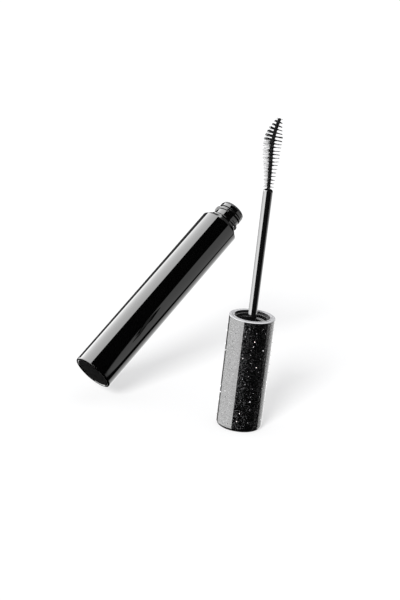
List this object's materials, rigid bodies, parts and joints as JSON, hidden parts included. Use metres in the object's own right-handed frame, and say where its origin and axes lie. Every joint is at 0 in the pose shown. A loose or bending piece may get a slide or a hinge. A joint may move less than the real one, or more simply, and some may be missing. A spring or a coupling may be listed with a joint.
{
  "type": "mascara tube",
  "caption": "Open mascara: a gloss black bottle with a screw neck, and a glitter cap that carries a stem and a twisted-wire brush.",
  "frame": {"origin": "centre of the cap's flat closed end, which it stands on", "axes": "+Z along the wand from the cap towards the brush tip; +Y away from the viewer, -X towards the open bottle's base"},
  "size_m": [0.075, 0.0752, 0.121],
  "materials": {
    "cap_shell": "clear glossy wall over black glitter",
    "glitter_sleeve": "silver and black glitter film, pale cut edge",
    "threaded_insert": "black, semi-gloss moulding",
    "sealing_washer": "white foam",
    "stem": "black, high gloss",
    "brush_wire": "dark twisted wire with traces of mascara",
    "bristles": "fine dark grey filaments",
    "outer_casing": "black, mirror gloss",
    "base_plug": "black satin",
    "inner_vial": "black, high gloss",
    "wiper": "black soft plastic",
    "mascara_fill": "thick black cream, wet"
  },
  "bodies": {
    "outer_cap": {"cap_shell": "cap_shell", "glitter_sleeve": "glitter_sleeve"},
    "washer": {"sealing_washer": "sealing_washer"},
    "stem": {"stem": "stem"},
    "applicator": {"threaded_insert": "threaded_insert", "brush_wire": "brush_wire", "bristles": "bristles"},
    "bottle": {"outer_casing": "outer_casing", "base_plug": "base_plug", "inner_vial": "inner_vial", "wiper": "wiper", "mascara_fill": "mascara_fill"}
  },
  "joints": [
    {"name": "bottle_swing", "type": "hinge", "parent": "outer_cap", "child": "bottle", "pos_m": [-0.00172, 0.041, 0.10734], "axis": [0.9577, -0.072, -0.2785], "range_deg": [0, 219.46]},
    {"name": "wand_draw", "type": "slide", "parent": "outer_cap", "child": "washer", "axis": [0, 0, 1], "range_m": [0, 0.087]},
    {"name": "thread_advance", "type": "slide", "parent": "washer", "child": "stem", "axis": [0, 0, 1], "range_m": [-0.0035, 0]},
    {"name": "cap_turn", "type": "hinge", "parent": "stem", "child": "applicator", "pos_m": [0, 0, 0], "axis": [0, 0, 1], "range_deg": [-450, 0]}
  ],
  "couplings": [
    {"joint": "cap_turn", "follows": "thread_advance", "rad_per_m": 2244}
  ]
}
